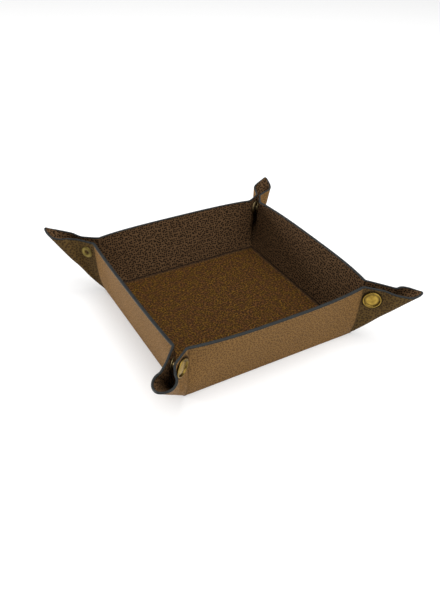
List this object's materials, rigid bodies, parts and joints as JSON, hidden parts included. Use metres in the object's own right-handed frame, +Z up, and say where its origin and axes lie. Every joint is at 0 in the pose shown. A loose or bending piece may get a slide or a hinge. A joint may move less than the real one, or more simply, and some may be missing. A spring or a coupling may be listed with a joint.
{
  "type": "snap-corner leather dice tray",
  "caption": "Square lined leather tray: a flat sheet folded up on all sides, its pinched corners held by brass press studs so that it can be unsnapped and laid flat.",
  "frame": {"origin": "middle of the base's underside, on the surface the tray stands on", "axes": "+Z up out of the tray, +X towards the right wall, -Y towards the front wall"},
  "size_m": [0.1845, 0.1798, 0.0462],
  "materials": {
    "outer_leather": "matt pebbled tan-brown leather with dark painted edges",
    "lining_leather": "dark brown grained leather",
    "stiffener": "bonded leather board, hidden inside",
    "brass": "aged polished brass"
  },
  "bodies": {
    "base": {"base_outer": "outer_leather", "base_board": "stiffener", "base_lining": "lining_leather"},
    "front_wall": {"front_wall_outer": "outer_leather", "front_wall_board": "stiffener", "front_wall_lining": "lining_leather"},
    "right_wall": {"right_wall_outer": "outer_leather", "right_wall_board": "stiffener", "right_wall_lining": "lining_leather"},
    "back_wall": {"back_wall_outer": "outer_leather", "back_wall_board": "stiffener", "back_wall_lining": "lining_leather"},
    "left_wall": {"left_wall_outer": "outer_leather", "left_wall_board": "stiffener", "left_wall_lining": "lining_leather"},
    "front_left_front_ear": {"front_left_front_ear_outer": "outer_leather", "front_left_front_ear_lining": "lining_leather", "front_left_snap_cap": "brass", "front_left_snap_socket": "brass"},
    "front_left_front_ear_tip": {"front_left_front_ear_tip": "outer_leather"},
    "front_left_left_ear": {"front_left_left_ear_outer": "outer_leather", "front_left_left_ear_lining": "lining_leather", "front_left_snap_stud": "brass", "front_left_snap_eyelet": "brass"},
    "front_left_left_ear_tip": {"front_left_left_ear_tip": "outer_leather"},
    "front_right_front_ear": {"front_right_front_ear_outer": "outer_leather", "front_right_front_ear_lining": "lining_leather", "front_right_snap_cap": "brass", "front_right_snap_socket": "brass"},
    "front_right_front_ear_tip": {"front_right_front_ear_tip": "outer_leather"},
    "front_right_right_ear": {"front_right_right_ear_outer": "outer_leather", "front_right_right_ear_lining": "lining_leather", "front_right_snap_stud": "brass", "front_right_snap_eyelet": "brass"},
    "front_right_right_ear_tip": {"front_right_right_ear_tip": "outer_leather"},
    "back_right_back_ear": {"back_right_back_ear_outer": "outer_leather", "back_right_back_ear_lining": "lining_leather", "back_right_snap_cap": "brass", "back_right_snap_socket": "brass"},
    "back_right_back_ear_tip": {"back_right_back_ear_tip": "outer_leather"},
    "back_right_right_ear": {"back_right_right_ear_outer": "outer_leather", "back_right_right_ear_lining": "lining_leather", "back_right_snap_stud": "brass", "back_right_snap_eyelet": "brass"},
    "back_right_right_ear_tip": {"back_right_right_ear_tip": "outer_leather"},
    "back_left_back_ear": {"back_left_back_ear_outer": "outer_leather", "back_left_back_ear_lining": "lining_leather", "back_left_snap_cap": "brass", "back_left_snap_socket": "brass"},
    "back_left_back_ear_tip": {"back_left_back_ear_tip": "outer_leather"},
    "back_left_left_ear": {"back_left_left_ear_outer": "outer_leather", "back_left_left_ear_lining": "lining_leather", "back_left_snap_stud": "brass", "back_left_snap_eyelet": "brass"},
    "back_left_left_ear_tip": {"back_left_left_ear_tip": "outer_leather"}
  },
  "joints": [
    {"name": "front_wall_fold", "type": "hinge", "parent": "base", "child": "front_wall", "pos_m": [0, -0.0622, 0], "axis": [1, 0, 0], "range_deg": [0, 75]},
    {"name": "right_wall_fold", "type": "hinge", "parent": "base", "child": "right_wall", "pos_m": [0.0622, 0, 0], "axis": [0, 1, 0], "range_deg": [0, 73.5]},
    {"name": "back_wall_fold", "type": "hinge", "parent": "base", "child": "back_wall", "pos_m": [0, 0.0622, 0], "axis": [-1, 0, 0], "range_deg": [0, 72]},
    {"name": "left_wall_fold", "type": "hinge", "parent": "base", "child": "left_wall", "pos_m": [-0.0622, 0, 0], "axis": [0, -1, 0], "range_deg": [0, 78.5]},
    {"name": "front_left_front_ear_bend", "type": "hinge", "parent": "front_wall", "child": "front_left_front_ear", "pos_m": [-0.06143, -0.05998, 0.00134], "axis": [0, 0.1392, -0.9903], "range_deg": [0, 45.28]},
    {"name": "front_left_front_ear_tip_uncurl", "type": "hinge", "parent": "front_left_front_ear", "child": "front_left_front_ear_tip", "pos_m": [-0.061, -0.061, 0.0012], "axis": [-0.4518, -0.571, 0.6854], "range_deg": [0, 85.27], "deforming": ["front_left_front_ear_tip"]},
    {"name": "front_left_left_ear_bend", "type": "hinge", "parent": "left_wall", "child": "front_left_left_ear", "pos_m": [-0.05998, -0.06143, 0.00134], "axis": [-0.1392, 0, 0.9903], "range_deg": [0, 45.28]},
    {"name": "front_left_left_ear_tip_uncurl", "type": "hinge", "parent": "front_left_left_ear", "child": "front_left_left_ear_tip", "pos_m": [-0.061, -0.061, 0.0012], "axis": [0.56, 0.4558, -0.6919], "range_deg": [0, 87.42], "deforming": ["front_left_left_ear_tip"]},
    {"name": "front_right_front_ear_bend", "type": "hinge", "parent": "front_wall", "child": "front_right_front_ear", "pos_m": [0.06143, -0.05998, 0.00134], "axis": [0, -0.1392, 0.9903], "range_deg": [0, 45.28]},
    {"name": "front_right_front_ear_tip_uncurl", "type": "hinge", "parent": "front_right_front_ear", "child": "front_right_front_ear_tip", "pos_m": [0.061, -0.061, 0.0012], "axis": [-0.4685, 0.5282, -0.7082], "range_deg": [0, 91.63], "deforming": ["front_right_front_ear_tip"]},
    {"name": "front_right_right_ear_bend", "type": "hinge", "parent": "right_wall", "child": "front_right_right_ear", "pos_m": [0.05998, -0.06143, 0.00134], "axis": [-0.1392, 0, -0.9903], "range_deg": [0, 45.28]},
    {"name": "front_right_right_ear_tip_uncurl", "type": "hinge", "parent": "front_right_right_ear", "child": "front_right_right_ear_tip", "pos_m": [0.061, -0.061, 0.0012], "axis": [0.6038, -0.4454, 0.6611], "range_deg": [0, 81.12], "deforming": ["front_right_right_ear_tip"]},
    {"name": "back_right_back_ear_bend", "type": "hinge", "parent": "back_wall", "child": "back_right_back_ear", "pos_m": [0.06143, 0.05998, 0.00134], "axis": [0, -0.1392, -0.9903], "range_deg": [0, 45.28]},
    {"name": "back_right_back_ear_tip_uncurl", "type": "hinge", "parent": "back_right_back_ear", "child": "back_right_back_ear_tip", "pos_m": [0.061, 0.061, 0.0012], "axis": [0.4558, 0.56, 0.6919], "range_deg": [0, 87.42], "deforming": ["back_right_back_ear_tip"]},
    {"name": "back_right_right_ear_bend", "type": "hinge", "parent": "right_wall", "child": "back_right_right_ear", "pos_m": [0.05998, 0.06143, 0.00134], "axis": [0.1392, 0, 0.9903], "range_deg": [0, 45.28]},
    {"name": "back_right_right_ear_tip_uncurl", "type": "hinge", "parent": "back_right_right_ear", "child": "back_right_right_ear_tip", "pos_m": [0.061, 0.061, 0.0012], "axis": [-0.571, -0.4518, -0.6854], "range_deg": [0, 85.27], "deforming": ["back_right_right_ear_tip"]},
    {"name": "back_left_back_ear_bend", "type": "hinge", "parent": "back_wall", "child": "back_left_back_ear", "pos_m": [-0.06143, 0.05998, 0.00134], "axis": [0, 0.1392, 0.9903], "range_deg": [0, 45.28]},
    {"name": "back_left_back_ear_tip_uncurl", "type": "hinge", "parent": "back_left_back_ear", "child": "back_left_back_ear_tip", "pos_m": [-0.061, 0.061, 0.0012], "axis": [0.4688, -0.5232, -0.7117], "range_deg": [0, 91.98], "deforming": ["back_left_back_ear_tip"]},
    {"name": "back_left_left_ear_bend", "type": "hinge", "parent": "left_wall", "child": "back_left_left_ear", "pos_m": [-0.05998, 0.06143, 0.00134], "axis": [0.1392, 0, -0.9903], "range_deg": [0, 45.28]},
    {"name": "back_left_left_ear_tip_uncurl", "type": "hinge", "parent": "back_left_left_ear", "child": "back_left_left_ear_tip", "pos_m": [-0.061, 0.061, 0.0012], "axis": [-0.6094, 0.443, 0.6575], "range_deg": [0, 80.82], "deforming": ["back_left_left_ear_tip"]}
  ],
  "couplings": [
    {"joint": "right_wall_fold", "follows": "front_wall_fold", "ratio": 0.98},
    {"joint": "back_wall_fold", "follows": "front_wall_fold", "ratio": 0.96},
    {"joint": "left_wall_fold", "follows": "front_wall_fold", "ratio": 1.0467},
    {"joint": "front_left_front_ear_bend", "follows": "front_wall_fold", "ratio": 0.60373},
    {"joint": "front_left_front_ear_tip_uncurl", "follows": "front_wall_fold", "ratio": 1.1369},
    {"joint": "front_left_left_ear_bend", "follows": "front_wall_fold", "ratio": 0.60373},
    {"joint": "front_left_left_ear_tip_uncurl", "follows": "front_wall_fold", "ratio": 1.1657},
    {"joint": "front_right_front_ear_bend", "follows": "front_wall_fold", "ratio": 0.60373},
    {"joint": "front_right_front_ear_tip_uncurl", "follows": "front_wall_fold", "ratio": 1.2218},
    {"joint": "front_right_right_ear_bend", "follows": "front_wall_fold", "ratio": 0.60373},
    {"joint": "front_right_right_ear_tip_uncurl", "follows": "front_wall_fold", "ratio": 1.0816},
    {"joint": "back_right_back_ear_bend", "follows": "front_wall_fold", "ratio": 0.60373},
    {"joint": "back_right_back_ear_tip_uncurl", "follows": "front_wall_fold", "ratio": 1.1657},
    {"joint": "back_right_right_ear_bend", "follows": "front_wall_fold", "ratio": 0.60373},
    {"joint": "back_right_right_ear_tip_uncurl", "follows": "front_wall_fold", "ratio": 1.1369},
    {"joint": "back_left_back_ear_bend", "follows": "front_wall_fold", "ratio": 0.60373},
    {"joint": "back_left_back_ear_tip_uncurl", "follows": "front_wall_fold", "ratio": 1.2264},
    {"joint": "back_left_left_ear_bend", "follows": "front_wall_fold", "ratio": 0.60373},
    {"joint": "back_left_left_ear_tip_uncurl", "follows": "front_wall_fold", "ratio": 1.0776}
  ]
}
